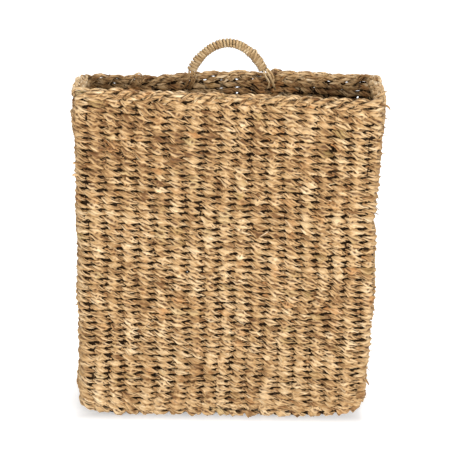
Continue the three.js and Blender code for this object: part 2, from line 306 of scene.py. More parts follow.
def shapeRings(strand, ring):
    # Gives a round tube its oval, plies and roughness. Also returns how deep in a crease each point
    # is, and how far it stands out of the wall's middle, or from the strand's axis if it has one.
    count, sides = ring.shape[:2]
    middle, out, up = (strand[key][:, None, :] for key in ("at", "out", "up"))
    offset = unit(ring - middle)
    tip = strand["wideAngle"][:, None]
    angle = np.arctan2((offset * up).sum(2), (offset * out).sum(2)) - tip
    ply = np.abs(np.sin(math.pi * strand["plies"] * np.arange(sides) / sides)) ** grass["plyRound"]
    draw = ownDraws(strand, grass["creaseDraws"])
    noise = draw.normal(*grass["creaseNoise"], (count, sides))
    crease = (1 - ply)[None, :] * np.clip(1 + noise, 0, grass["creaseMost"])
    rough = 1 + draw.normal(0, strand.get("rough", grass["rough"]), (count, sides))
    if strand["closed"]:
        crease[-1], rough[-1] = crease[0], rough[0]
    crease = crease * strand.get("creased", np.ones(count))[:, None]
    reach = (1 - strand["creaseDepth"] * crease) * rough / 2
    alongWide = reach * strand["wide"][:, None] * np.cos(angle)
    alongThick = reach * strand["thick"][:, None] * np.sin(angle)
    outward = alongWide * np.cos(tip) - alongThick * np.sin(tip)
    upward = alongWide * np.sin(tip) + alongThick * np.cos(tip)
    ring = middle + outward[..., None] * out + upward[..., None] * up
    if "axis" in strand:
        return ring, crease, np.linalg.norm(ring - strand["axis"][:, None, :], axis=2)
    return ring, crease, strand["depth"][:, None] + outward


def plyTones(strand, length, sides):
    # Each ply of a strand has a lightness of its own, which changes slowly along it
    draw = ownDraws(strand, grass["toneDraws"])
    cells = int(length[-1] / grass["plyPatch"]) + 2
    tones = draw.normal(0, strand.get("plyTone", grass["plyTone"]), (strand["plies"], cells))
    tones[:, -1] = tones[:, 0]
    ply = (np.arange(sides) * strand["plies"] // sides) % strand["plies"]
    place = length / max(length[-1], 1) * (cells - 1)
    tones = [np.interp(place, np.arange(cells), tones[k]) for k in range(strand["plies"])]
    return np.array(tones)[ply].T


def layStrands(name, strands, material, sides=grass["sides"]):
    # Makes a piece of strands, with the attributes that the materials read
    mesh = roundTubes(name, strands, sides)
    total = len(mesh.vertices)
    places = np.empty(total * 3, np.float32)
    mesh.vertices.foreach_get("co", places)
    places = places.reshape(-1, 3) / mm
    fibre, tint, shade = (np.zeros((total, 3), np.float32) for _ in range(3))
    around = turn * np.arange(sides) / sides
    circle = grass["fibreRadius"] * np.column_stack([np.cos(around), np.sin(around)])
    first = 0
    for strand in strands:
        count = len(strand["at"])
        last = first + count * sides
        ring, crease, depth = shapeRings(strand, places[first:last].reshape(count, sides, 3))
        places[first:last] = ring.reshape(-1, 3)
        steps = np.linalg.norm(np.diff(strand["at"], axis=0), axis=1)
        length = np.concatenate([[0], np.cumsum(steps)])
        fibre[first:last, :2] = np.tile(circle, (count, 1))
        fibre[first:last, 2] = np.repeat(length + strand["seed"], sides)
        tint[first:last] = np.repeat(strand["tint"], sides, axis=0)
        tint[first:last, 0] += plyTones(strand, length, sides).ravel()
        # Painted shade: strands darken near the wall's middle or a rope's axis, further out on the pocket
        # side, and in the creases between plies
        bury = np.where(depth < 0, grass["pocketShadeReach"], 1) * strand["bury"]
        paintedShade = np.clip(1 - np.abs(depth) / bury, 0, 1)
        shade[first:last, 0] = crease.ravel()
        shade[first:last, 1] = (paintedShade * paintedShade * (3 - 2 * paintedShade)).ravel()
        first = last
    mesh.vertices.foreach_set("co", (places * mm).astype(np.float32).ravel())
    for label, values in (("fibre", fibre), ("tint", tint), ("shade", shade)):
        attribute = mesh.attributes.new(label, "FLOAT_VECTOR", "POINT")
        attribute.data.foreach_set("vector", values.ravel())
    work = bmesh.new()
    work.from_mesh(mesh)
    bmesh.ops.holes_fill(work, edges=work.edges[:], sides=sides)
    for face in work.faces:
        face.smooth = True
    work.to_mesh(mesh)
    work.free()
    mesh.name = name
    mesh.materials.clear()
    mesh.materials.append(material)
    piece = addObject(name, mesh)
    print(f"  {name}: {len(strands)} strands, {sum(len(p.vertices) - 2 for p in mesh.polygons)} triangles")
    return piece


def rideAs(piece, body, slotName, *nodes):
    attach(piece, body)
    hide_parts(*nodes)


def openStrand(at, out, up, **fields):
    # A strand with two ends. It lies flat, untwisted and clear of the weave's painted shade if not told
    # otherwise.
    strand = {"closed": False, "depth": 9.0, "bury": 4.0, "wideAngle": math.pi / 2, "twist": 0.0, **fields}
    for key in ("wide", "thick", "depth", "wideAngle", "twist"):
        strand[key] = strand[key] * np.ones(len(at))
    return {"at": at, "out": out, "up": up, **strand}


def hexColour(code):
    parts = [int(code[i:i + 2], 16) / 255 for i in (1, 3, 5)]
    return tuple(c / 12.92 if c <= 0.04045 else ((c + 0.055) / 1.055) ** 2.4 for c in parts) + (1,)


def emptyTree(owner):
    owner.use_nodes = True
    owner.node_tree.nodes.clear()
    return owner.node_tree


def addNode(tree, kind, fields=None, values=None, links=None):
    # A link comes from an output, or from a node's first one
    node = tree.nodes.new("ShaderNode" + kind)
    for field, value in (fields or {}).items():
        setattr(node, field, value)
    for socket, value in (values or {}).items():
        node.inputs[socket].default_value = value
    for socket, source in (links or {}).items():
        source = source.outputs[0] if isinstance(source, bpy.types.Node) else source
        tree.links.new(source, node.inputs[socket])
    return node


print("stage: materials")
# Seagrass is a dried marsh rush, twisted by hand: matt to satin, straw to brown along each stem
straw = {"dark": "#6A4725", "mid": "#AE8A5C", "light": "#C9AA7F", "warm": "#B27A44", "green": "#8C8048"}
grassLooks = {
    # Straw with tan and a little green, and painted shade where strands sink between the stakes
    "weftSeagrass": {**straw, "pale": "#DCC49E", "crease": 1.0, "hollow": 1.0, "gloss": 0.3},
    # The same, with the pale glints of the rim's smoother stems
    "rimSeagrass": {**straw, "pale": "#E6D0AE", "crease": 0.95, "hollow": 0.9, "gloss": 0.3},
    # Dull brown under full painted shade, so that the stakes stay back in the dark of the slits
    "stakeSeagrass": {
        "dark": "#5E3F1F", "mid": "#94703F", "light": "#B08A56", "pale": "#CFAE7A",
        "warm": "#9A6934", "green": "#7C7240", "crease": 0.7, "hollow": 1.0, "gloss": 0.05,
    },
    # Smooth cool straw with thin lines of painted shade between the turns
    "wrapSeagrass": {
        "dark": "#75532E", "mid": "#A1835A", "light": "#B99D74", "pale": "#D9C4A0",
        "warm": "#A98050", "green": "#A39660", "crease": 0.4, "hollow": 0.9, "gloss": 0.3,
    },
}
pattern = {
    "streakWidth": 1.1,  # mm across one fibre bundle, coarser than the real 0.5 so that it shows
    "streakLength": 14.0,  # mm along it
    "patchLength": 26.0,  # mm of one colour along a stem
    "markSize": 2.2,  # mm, brown marks left where leaves were stripped
    "streaks": 1.5,  # how far streaks and patches move the tone, and where patches leave it
    "patches": 0.9,
    "middle": -0.72,
    "stops": {"dark": 0.08, "mid": 0.38, "light": 0.66, "pale": 0.98},
    "marks": {"From Min": 0.62, "From Max": 0.74, "To Max": 0.55},
    # Painted shade in the creases between plies: how narrow it is, and its brown
    "creaseEdge": 1.2,
    "crease": "#4C2F15",
    # Painted shade: a near-black where strands lie deep in the weave
    "hollow": "#1E1308",
    "roughness": {"To Min": 0.82, "To Max": 0.56},
    "bump": {"Strength": 0.7, "Distance": 0.35 * mm},
}


def fillRamp(ramp, colours):
    # Colours by place, instead of the two stops that a new ramp has
    stops = ramp.color_ramp.elements
    stops.remove(stops[1])
    stops[0].position, stops[0].color = colours[0]
    for place, colour in colours[1:]:
        stops.new(place).color = colour


def seagrass(name, look):
    material = bpy.data.materials.new(name)
    tree = emptyTree(material)
    fibre, tint, shade = (
        addNode(tree, "Attribute", {"attribute_name": label}).outputs["Vector"]
        for label in ("fibre", "tint", "shade"))
    tints = addNode(tree, "SeparateXYZ", links={"Vector": tint})
    shades = addNode(tree, "SeparateXYZ", links={"Vector": shade})
    squeeze = (1, 1, pattern["streakWidth"] / pattern["streakLength"])
    stretched = addNode(tree, "Mapping", values={"Scale": squeeze}, links={"Vector": fibre})
    streak = addNode(tree, "TexNoise", None,
                     {"Scale": 1 / pattern["streakWidth"], "Detail": 4, "Roughness": 0.62},
                     {"Vector": stretched})
    patch, mark = (
        addNode(tree, "TexNoise", None, {"Scale": 1 / pattern[key], "Detail": detail}, {"Vector": fibre})
        for key, detail in (("patchLength", 2), ("markSize", 3)))
    lean = addNode(tree, "Math", {"operation": "MULTIPLY_ADD"},
                   {1: pattern["patches"], 2: pattern["middle"]}, {0: patch})
    level = addNode(tree, "Math", {"operation": "MULTIPLY_ADD"},
                    {1: pattern["streaks"]}, {0: streak, 2: lean})
    tone = addNode(tree, "Math", {"operation": "ADD"}, None, {0: level, 1: tints})
    ramp = addNode(tree, "ValToRGB", links={"Fac": tone})
    fillRamp(ramp, [(place, hexColour(look[key])) for key, place in pattern["stops"].items()])
    marked = addNode(tree, "MapRange", values=pattern["marks"], links={"Value": mark})
    # Painted shade: the creases between plies take a brown
    narrow = addNode(tree, "Math", {"operation": "POWER"}, {1: pattern["creaseEdge"]}, {0: shades})
    creased = addNode(tree, "Math", {"operation": "MULTIPLY"}, {1: look["crease"]}, {0: narrow})
    # Painted shade: strands deep in the weave, near a rope's axis or in a stake go near-black
    paintedShade = addNode(tree, "Math", {"operation": "MULTIPLY"}, {1: look["hollow"]}, {0: shades.outputs["Y"]})
    colour = ramp
    for code, amount in (
        (look["warm"], tints.outputs["Y"]),
        (look["green"], tints.outputs["Z"]),
        (look["dark"], marked),
        (pattern["crease"], creased),
        (pattern["hollow"], paintedShade),
    ):
        mixed = addNode(tree, "Mix", {"data_type": "RGBA"}, {"B": hexColour(code)},
                        {"Factor": amount, "A": colour})
        colour = mixed.outputs["Result"]
    rough = addNode(tree, "MapRange", values=pattern["roughness"], links={"Value": streak})
    bump = addNode(tree, "Bump", values=pattern["bump"], links={"Height": streak})
    shader = addNode(tree, "BsdfPrincipled", values={"IOR": 1.45, "Specular IOR Level": look["gloss"]},
                     links={"Base Color": colour, "Roughness": rough, "Normal": bump})
    addNode(tree, "OutputMaterial", links={"Surface": shader})
    return material


weftGrass, rimGrass, stakeGrass, wrapGrass = (seagrass(*item) for item in grassLooks.items())

print("stage: weft of the walls")
# Rows of two strands, twisted half a turn between stakes so that each stake is caught between them
weave = {
    "seed": 100,
    "rowPitch": 7.7,
    "wallRows": 48,
    "bands": 6,  # pieces that the wall's rows make up
    "firstDrop": 1.8,  # mm from the rim's underside to the middle of the first row
    "topRows": 4,  # rows packed tighter under the rim
    "topSize": 1.1,
    "perStitch": 10,  # points
    "wide": (3.3, 10.4),  # mm, a strand is narrow between two stakes and pressed flat over one
    "thick": (4.5, 4.2),
    "lopsided": 0.5,  # mm wider before a stake than behind it
    "press": 0.48,  # the lower, the shorter the holes between two stakes
    "swing": 2.9,  # mm a strand swings out in front of a stake and in behind the next
    "slant": 1.2,  # mm it climbs and drops between them
    "twistLength": 50.0,  # mm of strand for one full turn of its stems, and the range of its share
    "twistRange": (0.8, 1.25),
    "plies": (4, 4, 5),
    "creaseDepth": (0.32, 0.5),
    "rowShift": 0.85,  # mm, unevenness of rows, columns and wall
    "columnShift": 1.8,
    "wallShift": 1.4,
    "bury": 1.6,  # mm from the wall's middle where the painted shade of the inside starts
    "innerShadeTone": -0.14,  # painted shade: the pocket side is darker and browner than the outside
    "innerShadeWarm": 0.24,
    "innerNarrow": 0.76,  # and its stitches are drawn tighter, which leaves dark gaps between rows
    "innerSmooth": 0.1,
    # Painted light at the front's sides and painted shade at its top: x in mm and the tone there
    "edgeLightTone": [(-178, 0.1), (-150, 0.04), (-130, 0), (130, 0), (150, 0.04), (178, 0.1)],
    "topShadeTone": [(-178, -0.15), (-60, -0.13), (0, -0.04), (178, -0.07)],
    "topReach": 150,  # mm below the rim where that ends, and over which it fades
    "topFade": 60,
    "rowTone": 0.03,
    "patchTone": 0.06,
    "patchApart": 400,  # mm between where a row's two strands read the field of tones
    # How much a stitch differs from the next, in mm, shares or radians
    "noise": {"slant": 0.35, "rise": 0.38, "swing": 0.45, "along": 1.6, "wide": 0.11, "thick": 0.12,
              "twist": 0.9},
}
# Unevenness of a strand's colour, and for two of them what it has to pass to show and its most
tintNoise = {"tone": 0.05, "warm": (0.28, 0.22, 0.85), "green": (0.24, 0.24, 0.6)}


def strandTint(draw, stitches, step, light, inside=0):
    # Lightness, and how far each place turns to the warm and the green colour; painted shade makes the
    # pocket side darker and warmer
    tone = light + uneven(draw, stitches, step, tintNoise["tone"]) + weave["innerShadeTone"] * inside
    turned = []
    for kind, more in (("warm", weave["innerShadeWarm"] * inside), ("green", 0)):
        amount, start, most = tintNoise[kind]
        turned.append(np.clip(uneven(draw, stitches, step, amount) - start + more, 0, most))
    return np.stack([tone, *turned], -1)


def twinedRow(drop, seed, size=1.0, swing=weave["swing"], slant=weave["slant"]):
    draw = default_rng(seed)
    inset = float(wallProfile(drop)[0])
    loop = planLoop(inset)
    stitches, step, run = stitchSteps(loop, weave["perStitch"])
    vary = unevenBy(draw, stitches, step, weave["noise"])
    share = run / loop["length"]
    strands = []
    for strand in (0, 1):
        angle = math.pi * (step + strand)
        cos, sin = np.cos(angle), np.sin(angle)
        press = np.abs(cos) ** weave["press"]
        inside = np.clip(-cos, 0, 1) ** 0.5
        wide = np.interp(press, (0, 1), weave["wide"])
        wide = (wide - weave["lopsided"] * np.sin(2 * angle)) * (1 - (1 - weave["innerNarrow"]) * inside)
        thick = np.interp(press, (0, 1), weave["thick"])
        climb = sin * np.where(cos < 0, np.abs(sin), 1)
        lift = -slant * size * climb * (1 + vary("slant")) + vary("rise")
        lift = lift + weave["rowShift"] * rowWander(share, drop)
        depth = swing * cos + vary("swing")
        shift = weave["wallShift"] * wallWander(share, drop) * (drop < straight)
        sideways = weave["columnShift"] * columnWander(share, drop) + vary("along")
        at, out, up = onWall(loop, inset, run + sideways, drop - lift, depth + shift)
        turns = round(loop["length"] / weave["twistLength"] * draw.uniform(*weave["twistRange"]))
        patch = lightWander(share, drop + weave["patchApart"] * strand)
        light = draw.normal(0, weave["rowTone"]) + weave["patchTone"] * patch
        # Painted light and shade on the front, by place
        top = np.clip((weave["topReach"] - drop) / weave["topFade"], 0, 1)
        front = spread(weave["edgeLightTone"], at[:, 0]) + top * spread(weave["topShadeTone"], at[:, 0])
        light = light + front * np.clip(-out[:, 1], 0, 1)
        strands.append({
            "at": settle(at), "out": out, "up": up, "depth": depth, "closed": True,
            "wide": wide * size * (1 + vary("wide")), "thick": thick * size * (1 + vary("thick")),
            "wideAngle": math.pi / 2 - angle,
            "twist": turn * turns * step / stitches + vary("twist") + draw.uniform(0, turn),
            "plies": int(draw.choice(weave["plies"])), "creaseDepth": draw.uniform(*weave["creaseDepth"]),
            "tint": strandTint(draw, stitches, step, light, cos < 0),
            "seed": draw.uniform(0, grass["seeds"]),
            "bury": weave["bury"], "creased": 1 - weave["innerSmooth"] * inside,
        })
    return strands


rowsPerBand = weave["wallRows"] // weave["bands"]
for band in range(weave["bands"]):
    rows = []
    for row in range(rowsPerBand):
        number = band * rowsPerBand + row
        size = weave["topSize"] if number < weave["topRows"] else 1.0
        rows += twinedRow(weave["firstDrop"] + number * weave["rowPitch"], weave["seed"] + number, size)
    label = weave["bands"] - band
    piece = layStrands(f"weftBand{label}", rows, weftGrass)
    rideAs(piece, "basket", "outer_seagrass", f"outer_weft_{label}", f"inner_weft_{label}")

print("stage: weft of the base")
# A coarser row closes the bottom edge, then rows go in to the middle of the base: size, swing and slant
base = {"seed": 200, "edgeRow": (1.2, 1.2, 0.9), "edgePitch": 7.2, "rows": 9,
        "firstRow": (1.15, 3.0), "otherRows": (1.0, 3.9)}
lastWallDrop = weave["firstDrop"] + (weave["wallRows"] - 1) * weave["rowPitch"]
edgeStep = (weave["rowPitch"] + base["edgePitch"]) / 2
edgeDrop = lastWallDrop + edgeStep
rows = twinedRow(edgeDrop, base["seed"], *base["edgeRow"])
for row in range(base["rows"]):
    drop = edgeDrop + edgeStep + row * weave["rowPitch"]
    rows += twinedRow(drop, base["seed"] + 1 + row, *base["otherRows" if row else "firstRow"])
piece = layStrands("baseWeft", rows, weftGrass)
rideAs(piece, "basket", "outer_seagrass", "base_weft_outer", "base_weft_inner")

print("stage: stakes")
stakes = {
    "crossSeed": 300, "sideSeed": 320, "cornerSeed": 350,
    # The low tone and a shade reach far past the stake's size paint each stake near-black with shade
    "sides": 8, "wide": 19.4, "uneven": 1.0, "thick": 2.8, "tone": -0.25, "bury": 30.0,
    "top": 4.0,  # mm that they reach into the rim
    "step": 8.0,  # mm between points down the wall
    "basePoints": 12,  # points from the bottom edge to the middle of the base
    "perTone": 4,
    "layer": 2.1,  # mm, one way's stakes pass below the other's under the base
    "cornerWide": 11.0,  # a corner's stake is split in two
    "cornerSplit": 5.4,
    "cornerFoot": 10,  # mm that it goes in under the base
}
wallLoop = planLoop(0.0)
stakeRuns = wallLoop["stakes"]
length = wallLoop["length"]


def stakePath(run, drops, layer=0):
    # Points inside the wall down a list of drops, with the way out of the wall
    share = run / length
    shift = weave["columnShift"] * columnWander(share, drops) * (drops < straight)
    bend = weave["wallShift"] * wallWander(share, drops) * (drops < straight)
    at, out = onWall(wallLoop, 0.0, run + shift, drops, bend)[:2]
    flat = np.clip((drops - straight) / edge, 0, 1)
    return at - out * (layer * flat)[:, None], out


def stakeStrand(draw, at, out, wide):
    at = settle(at)
    step = np.arange(len(at)) / stakes["perTone"]
    return openStrand(
        at, out, np.cross(tangents(at), out), depth=0.0, bury=stakes["bury"], wide=wide,
        thick=stakes["thick"], plies=4, creaseDepth=0.0, seed=draw.uniform(0, grass["seeds"]),
        tint=strandTint(draw, int(step[-1]) + 2, step, stakes["tone"]))


def throughStake(seed, run, farRun, layer):
    # A stake goes down one wall, across the base and up the opposite one
    draw = default_rng(seed)
    reach = (halfY if layer < 0 else halfX) - edge
    down = np.arange(-stakes["top"], straight + edgeArc, stakes["step"])
    across = np.linspace(straight + edgeArc, straight + edgeArc + reach, stakes["basePoints"])
    near, nearOut = stakePath(run, np.append(down, across), layer)
    far, farOut = stakePath(farRun, np.append(down, across[:-1])[::-1], layer)
    wide = stakes["wide"] + draw.normal(0, stakes["uneven"], len(near) + len(far))
    return stakeStrand(draw, np.concatenate([near, far]), np.concatenate([nearOut, farOut]), wide)


def cornerStake(seed, run):
    draw = default_rng(seed)
    drops = np.arange(-stakes["top"], straight + edgeArc + stakes["cornerFoot"], stakes["step"])
    return stakeStrand(draw, *stakePath(run, drops), stakes["cornerWide"])


poles = []
front, right, rear, left = wallLoop["sides"]
for number, runs in enumerate(zip(front, rear)):
    poles.append(throughStake(stakes["crossSeed"] + number, *runs, -stakes["layer"]))
for number, runs in enumerate(zip(left, right)):
    poles.append(throughStake(stakes["sideSeed"] + number, *runs, stakes["layer"]))
for number, run in enumerate(stakeRuns):
    if run in wallLoop["corners"]:
        for side in (-1, 1):
            seed = stakes["cornerSeed"] + 2 * number
            poles.append(cornerStake(seed, run + side * stakes["cornerSplit"]))
piece = layStrands("stakes", poles, stakeGrass, stakes["sides"])
rideAs(piece, "basket", "stake_seagrass", *crossStakes, *sideStakes, *cornerStakes)

print("stage: rim border")
# Twisted pairs of strands round the top, with each stake's end bent over them and tucked inside
rim = {
    # Of each rope: height above the rim's underside, depth, swing, its strands' two widths, phase
    "ropes": [(3.8, 0.3, 3.0, 7.8, 5.5, 0.0), (9.6, 2.0, 2.9, 6.6, 4.6, 0.35),
              (9.0, -2.6, 2.9, 6.6, 4.6, 0.5)],
    # The grooves between a rope's strands get painted shade, out to a reach from its axis
    "seed": 500, "perStitch": 8, "turns": 34, "grooveShadeReach": 3.3, "squeeze": 0.42,
    "tone": -0.03, "endTone": 0.18, "plyTone": 0.16, "creaseDepth": 0.4,
    "endSmooth": 0.4,  # the creases are shallower on the left and the right side
    "noise": {"phase": 0.25, "along": 2.0, "rise": 0.8, "depth": 0.4, "wide": 0.16, "thick": 0.14,
              "twist": 0.8},
}
blade = {
    "seed": 400, "points": 16, "middle": 6.2, "radius": 5.4, "bulge": 0.8, "wide": 4.2, "thick": 2.6,
    "lead": 6.0, "reach": 21.0, "start": -0.8, "end": 4.0, "twist": 4.5, "creaseDepth": 0.35,
    "ends": 0.04, "taper": 2.2, "tip": 0.35,  # share left off the taper's ends, its slope, its least
    "wideRange": (0.75, 1.3), "twistRange": (0.5, 1.5), "tone": (-0.04, 0.08), "tones": 6,
    "noise": {"angle": 0.15, "radius": 0.7, "reach": 6, "along": 3, "rise": 0.4},
}
border = []
stitches, step, even = stitchSteps(wallLoop, rim["perStitch"])
for number, (height, deep, swing, wide, thick, phase) in enumerate(rim["ropes"]):
    draw = default_rng(rim["seed"] + number)
    vary = unevenBy(draw, stitches, step, rim["noise"])
    for strand in (0, 1):
        angle = math.pi * (step + strand + phase) + vary("phase")
        cos, sin = np.cos(angle), np.sin(angle)
        run = even + vary("along")
        lift = height + swing * sin + vary("rise")
        depth = deep + swing * cos + vary("depth")
        at, out, up = onWall(wallLoop, 0.0, run, -lift, depth)
        axis = onWall(wallLoop, 0.0, run, np.full_like(run, -height), deep)[0]
        spindle = 1 - rim["squeeze"] * sin ** 2
        atEnds = np.abs(out[:, 0])
        border.append({
            "at": settle(at), "out": out, "up": up, "closed": True, "bury": rim["grooveShadeReach"],
            "axis": settle(axis), "creased": 1 - rim["endSmooth"] * atEnds,
            "wide": wide * spindle * (1 + vary("wide")), "thick": thick * (1 + vary("thick")),
            "wideAngle": angle + math.pi / 2,
            "twist": turn * rim["turns"] * step / stitches + vary("twist"),
            "plies": 3, "creaseDepth": rim["creaseDepth"], "seed": draw.uniform(0, grass["seeds"]),
            "plyTone": rim["plyTone"],
            "tint": strandTint(draw, stitches, step, rim["tone"] + rim["endTone"] * atEnds),
        })
noise = blade["noise"]
t = np.linspace(0, 1, blade["points"])
taper = np.sin(math.pi * np.clip(t, blade["ends"], 1 - blade["ends"])) * blade["taper"]
taper = np.clip(taper, blade["tip"], 1)
for number, place in enumerate(stakeRuns):
    draw = default_rng(blade["seed"] + number)
    angle = np.interp(t, [0, 1], [blade["start"], blade["end"]]) + draw.normal(0, noise["angle"])
    radius = blade["radius"] + blade["bulge"] * np.sin(math.pi * t) + draw.normal(0, noise["radius"])
    run = place - blade["lead"] + (blade["reach"] + draw.normal(0, noise["reach"])) * t
    run = run + draw.normal(0, noise["along"])
    rise = blade["middle"] + radius * np.sin(angle) + draw.normal(0, noise["rise"])
    at, out, up = onWall(wallLoop, 0.0, run, -rise, radius * np.cos(angle))
    border.append(openStrand(
        settle(at), out, up, wide=blade["wide"] * taper * draw.uniform(*blade["wideRange"]),
        thick=blade["thick"] * taper, wideAngle=angle + math.pi / 2,
        twist=t * blade["twist"] * draw.uniform(*blade["twistRange"]) + draw.uniform(0, turn),
        plies=3, creaseDepth=blade["creaseDepth"], seed=draw.uniform(0, grass["seeds"]),
        plyTone=rim["plyTone"],
        tint=strandTint(draw, blade["tones"], t * (blade["tones"] - 1),
                        draw.normal(*blade["tone"]) + rim["endTone"] * np.abs(out[:, 0]))))
piece = layStrands("rimBorder", border, rimGrass)
rideAs(piece, "basket", "rim_seagrass", "rim_border")

print("stage: loop handle")
# The loop's middle line is an arch a little flatter at its shoulders than a circle
handle = {
    "seed": 600, "halfWidth": 45.0, "rise": 34.0, "thickness": 11.5, "shoulder": 0.045,
    "archPoints": 400,
    "core": {"points": 44, "thickness": 6.2, "twist": 6, "tones": 12, "bury": 6.0},
    "turns": 31, "wide": 4.1, "thick": 3.2, "perTurn": 20, "creaseDepth": 0.12, "rough": 0.05,
    "bare": 0.012,  # share of the loop left bare at each foot
    "spreadOut": 0.04,  # the wrap's strand is this share wider for each mm that its turns stand out
    "noise": {"pitch": 0.05, "radius": 0.14, "wide": 0.06},
    # A thicker place near the right foot, where the wrap goes over itself: share of the loop, mm
    "lump": [(0, 0.9), (0.12, 0.5), (0.25, 0), (0.70, 0), (0.765, 0.8), (0.80, -0.3), (0.835, 0.9),
             (0.90, 0.5), (1, 0)],
}
# There the wrap crosses over itself: from and to give the share of the loop and the angle round it
over = {"from": (0.77, -0.6), "to": (0.84, 2.6), "stand": 2.2, "points": 16, "wide": 3.2, "thick": 2.2}
archRadius = (handle["halfWidth"] ** 2 + handle["rise"] ** 2) / (2 * handle["rise"])
archMiddle = hinge[2] + handle["rise"] - archRadius
archEnd = math.asin((hinge[2] - archMiddle) / archRadius)
wrapRadius = (handle["thickness"] - handle["thick"]) / 2


def onArch(share):
    # The loop's middle line from its left foot (0) to its right (1), the way out and the way along
    angle = math.pi - archEnd - share * (math.pi - 2 * archEnd)
    radius = archRadius * (1 - handle["shoulder"] * np.sin(2 * angle) ** 2)
    x = radius * np.cos(angle)
    z = archMiddle + radius * np.sin(angle)
    at = np.stack([x, np.full_like(x, hinge[1]), z], -1)
    along = tangents(at)
    return at, np.cross(forward, along), along


grid = np.linspace(0, 1, handle["archPoints"])
arch = onArch(grid)


def woundRound(share, angle, radius):
    # Points round the loop, with the way out of it and the way along it
    middle, outward, along = (
        np.stack([np.interp(share, grid, values[:, k]) for k in range(3)], -1) for values in arch)
    spoke = outward * np.cos(angle)[:, None] + forward * np.sin(angle)[:, None]
    return middle + spoke * np.reshape(radius, (-1, 1)), spoke, along


draw = default_rng(handle["seed"])
core = handle["core"]
share = np.linspace(0, 1, core["points"])
at, away = onArch(share)[:2]
# The core is painted with shade all over, which shows dark between the wrap's turns
coreStrand = openStrand(
    at, away, np.tile(forward, (len(at), 1)), depth=0.0, bury=core["bury"], wide=core["thickness"],
    thick=core["thickness"], wideAngle=0.0, twist=share * core["twist"], plies=4, creaseDepth=0.25,
    seed=10.0, tint=strandTint(draw, core["tones"], share * (core["tones"] - 2), 0.0))
piece = layStrands("handleCore", [coreStrand], stakeGrass)
rideAs(piece, "handle", "core_seagrass", "handle_core")

turns = handle["turns"]
step = np.arange(turns * handle["perTurn"] + 1) / handle["perTurn"]
vary = unevenBy(draw, turns + 1, step, handle["noise"])
share = handle["bare"] + (1 - 2 * handle["bare"]) * (step + vary("pitch")) / turns
share = np.maximum.accumulate(np.clip(share, 0, 1))
lump = spread(handle["lump"], share)
radius = wrapRadius + vary("radius") + lump
wide = 1 + vary("wide") + handle["spreadOut"] * lump
# The wrap's inner side is painted with shade, which darkens the grooves between its turns
wrap = openStrand(
    *woundRound(share, turn * step, radius), depth=0.4, bury=1.7, wide=handle["wide"] * wide,
    thick=handle["thick"], plies=2, creaseDepth=handle["creaseDepth"], rough=handle["rough"],
    seed=77.0, tint=strandTint(draw, turns + 1, step, 0.08))
t = np.linspace(0, 1, over["points"])
share, angle = (start + (end - start) * t for start, end in zip(over["from"], over["to"]))
# The crossing strand's inner side is painted with shade too
crossing = openStrand(
    *woundRound(share, angle, wrapRadius + over["stand"]), depth=0.6, bury=1.4, wide=over["wide"],
    thick=over["thick"], plies=2, creaseDepth=handle["creaseDepth"],
    seed=78.0, tint=strandTint(draw, 3, 2 * t, 0.05))
piece = layStrands("handleWrap", [wrap, crossing], wrapGrass)
rideAs(piece, "handle", "wrap_seagrass", "handle_wrap")

print("stage: ties")
# Bare strands from each foot of the loop down the rear wall's inner face, their ends in the weave
ties = {
    "left": [
        [(-47.0, 62.5, 409), (-47.8, 60.5, 404), (-47.5, 58.6, 398),
         (-49.6, 58.8, 392), (-52.9, 61, 385), (-54, 66, 381)],
        [(-44.5, 62.5, 409), (-43.0, 59.8, 404), (-40.6, 58.4, 400),
         (-41.4, 58.8, 393), (-44.5, 61, 386), (-46, 66, 382)],
        [(-46.0, 61.0, 409), (-44.6, 58.6, 403), (-44.2, 58.0, 396),
         (-45.6, 59.0, 390), (-48.6, 62, 384), (-50, 66, 381)],
    ],
    "right": [
        [(43.6, 61.5, 409), (44.6, 59.6, 405), (47.0, 58.4, 400),
         (51.0, 58.6, 393), (50.0, 60, 386), (48, 66, 383)],
        [(46.6, 61.0, 409), (49.6, 59.0, 404), (53.0, 58.2, 398),
         (55.8, 58.6, 392), (58.0, 60, 387), (60, 66, 383)],
        [(48.0, 62.0, 410), (53.4, 60.0, 404), (56.6, 58.8, 398),
         (55.6, 59.6, 392), (57.6, 62, 387), (59, 67, 382)],
    ],
    "tone": {"left": (-0.12, -0.5), "right": (0.16, 0.0)},  # at the loop's foot and at the wall; the left tie is darker as painted shade
    "seed": 700, "points": 22, "wide": 2.9, "thick": 2.4, "uneven": 0.1, "twist": 1.5, "tones": 4,
    "taper": ((0, 0.9, 1), (1, 1, 0.6)),
}


def smoothPath(points, count):
    # A curve through given points (Catmull-Rom)
    points = np.array(points, float)
    ends = np.vstack([2 * points[0] - points[1], points, 2 * points[-1] - points[-2]])
    places = np.linspace(0, len(points) - 1, count)
    cell = np.minimum(places.astype(int), len(points) - 2)
    t = (places - cell)[:, None]
    a, b, c, d = (ends[cell + k] for k in range(4))
    return 0.5 * (2 * b + (c - a) * t + (2 * a - 5 * b + 4 * c - d) * t ** 2
                  + (3 * b - a - 3 * c + d) * t ** 3)


t = np.linspace(0, 1, ties["points"])
for side in ("left", "right"):
    blades = []
    for number, points in enumerate(ties[side]):
        draw = default_rng(ties["seed"] + number)
        at = smoothPath(points, ties["points"])
        out = np.tile(forward, (len(at), 1))
        wide = ties["wide"] * (1 + draw.normal(0, ties["uneven"])) * np.interp(t, *ties["taper"])
        blades.append(openStrand(
            at, out, np.cross(tangents(at), out), wide=wide, thick=ties["thick"],
            twist=t * ties["twist"], plies=2, creaseDepth=0.18, seed=draw.uniform(0, grass["seeds"]),
            tint=strandTint(draw, ties["tones"], t * (ties["tones"] - 1),
                            np.interp(t, [0, 1], ties["tone"][side]))))
    piece = layStrands("handleTie" + side.capitalize(), blades, wrapGrass)
    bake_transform(piece)
    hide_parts("handle_tie_" + side)

print("stage: loose ends")
